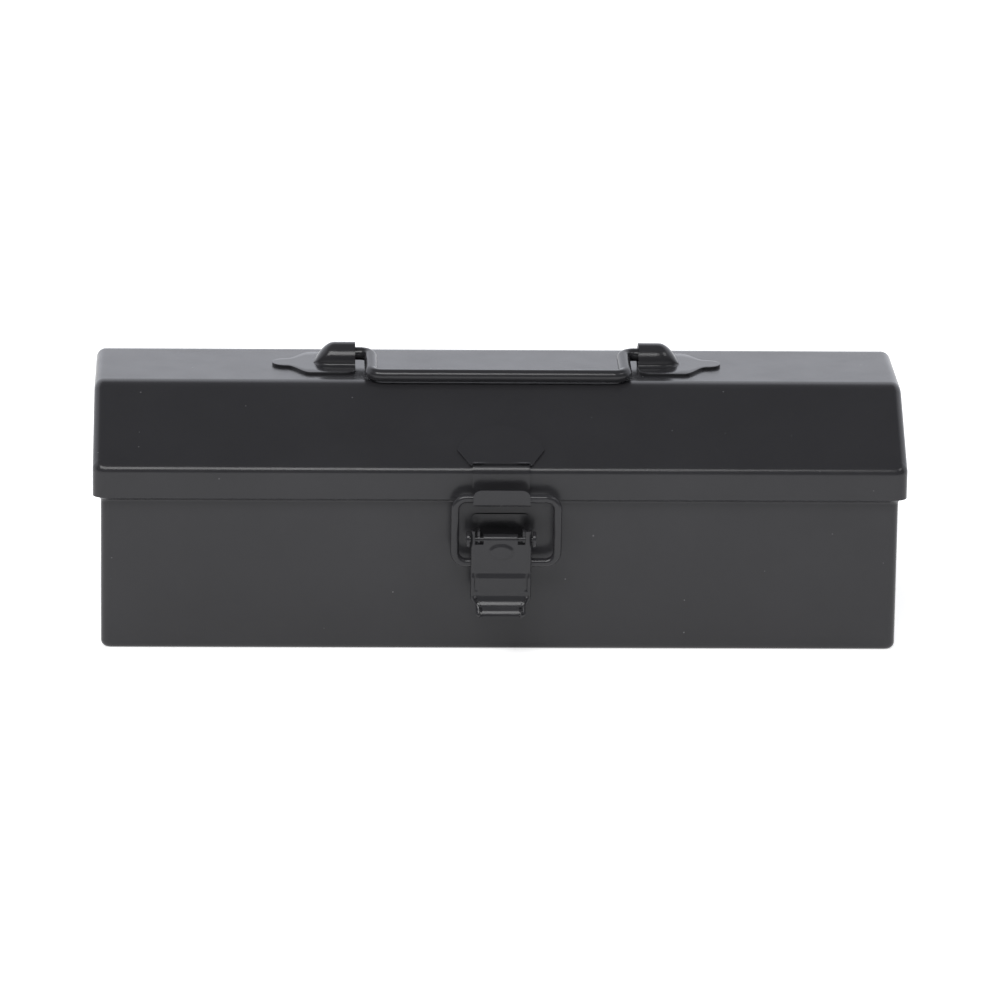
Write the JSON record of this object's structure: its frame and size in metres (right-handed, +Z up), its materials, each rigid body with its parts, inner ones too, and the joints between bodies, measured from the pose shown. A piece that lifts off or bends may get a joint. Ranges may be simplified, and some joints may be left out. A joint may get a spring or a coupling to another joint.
{
  "type": "toolbox with tray",
  "caption": "Black pressed-steel toolbox with a hipped hinged lid, folding carrying handle, draw latch and lift-out inner tray.",
  "frame": {"origin": "middle of the body's flat base, on the surface it stands on", "axes": "+X along the box to the viewer's right, +Y towards the rear hinges, +Z up; the latch faces -Y"},
  "size_m": [0.359, 0.1721, 0.1217],
  "materials": {
    "shell_paint": "satin black stove enamel on pressed sheet steel",
    "fitting_paint": "semi-gloss black enamel on steel fittings",
    "tray_paint": "satin black enamel on sheet steel",
    "bare_steel": "zinc-plated steel wire and rivets"
  },
  "bodies": {
    "box": {"body_shell": "shell_paint", "hinge_leaf_body_left": "fitting_paint", "hinge_leaf_body_right": "fitting_paint", "hinge_pin_left": "bare_steel", "hinge_pin_right": "bare_steel", "latch_base": "fitting_paint", "latch_pin": "fitting_paint", "tray_rest_front_left": "fitting_paint", "tray_rest_front_right": "fitting_paint", "tray_rest_rear_left": "fitting_paint", "tray_rest_rear_right": "fitting_paint"},
    "lid": {"lid_shell": "shell_paint", "hinge_leaf_lid_left": "fitting_paint", "hinge_leaf_lid_right": "fitting_paint", "latch_keeper": "fitting_paint", "handle_bracket_left": "fitting_paint", "handle_bracket_right": "fitting_paint"},
    "handle": {"handle_bail": "fitting_paint"},
    "latch_lever": {"latch_lever": "fitting_paint"},
    "latch_loop": {"latch_loop": "fitting_paint"},
    "tray": {"tray_pan": "tray_paint", "tray_handle": "tray_paint", "tray_rivets": "bare_steel"}
  },
  "joints": [
    {"name": "lid_hinge", "type": "hinge", "parent": "box", "child": "lid", "pos_m": [0, 0.0775, 0.07], "axis": [-1, 0, 0], "range_deg": [0, 110]},
    {"name": "handle_swing", "type": "hinge", "parent": "lid", "child": "handle", "pos_m": [0, 0, 0.1165], "axis": [-1, 0, 0], "range_deg": [0, 188.4]},
    {"name": "latch_lever_swing", "type": "hinge", "parent": "box", "child": "latch_lever", "pos_m": [0, -0.0836, 0.0542], "axis": [-1, 0, 0], "range_deg": [0, 100]},
    {"name": "latch_loop_tilt", "type": "hinge", "parent": "latch_lever", "child": "latch_loop", "pos_m": [0, -0.0812, 0.043], "axis": [-1, 0, 0], "range_deg": [-65, 0]},
    {"name": "tray_lift", "type": "slide", "parent": "box", "child": "tray", "axis": [0, 0, 1], "range_m": [0, 0.008]}
  ],
  "couplings": [
    {"joint": "latch_loop_tilt", "follows": "latch_lever_swing", "ratio": -0.64}
  ]
}
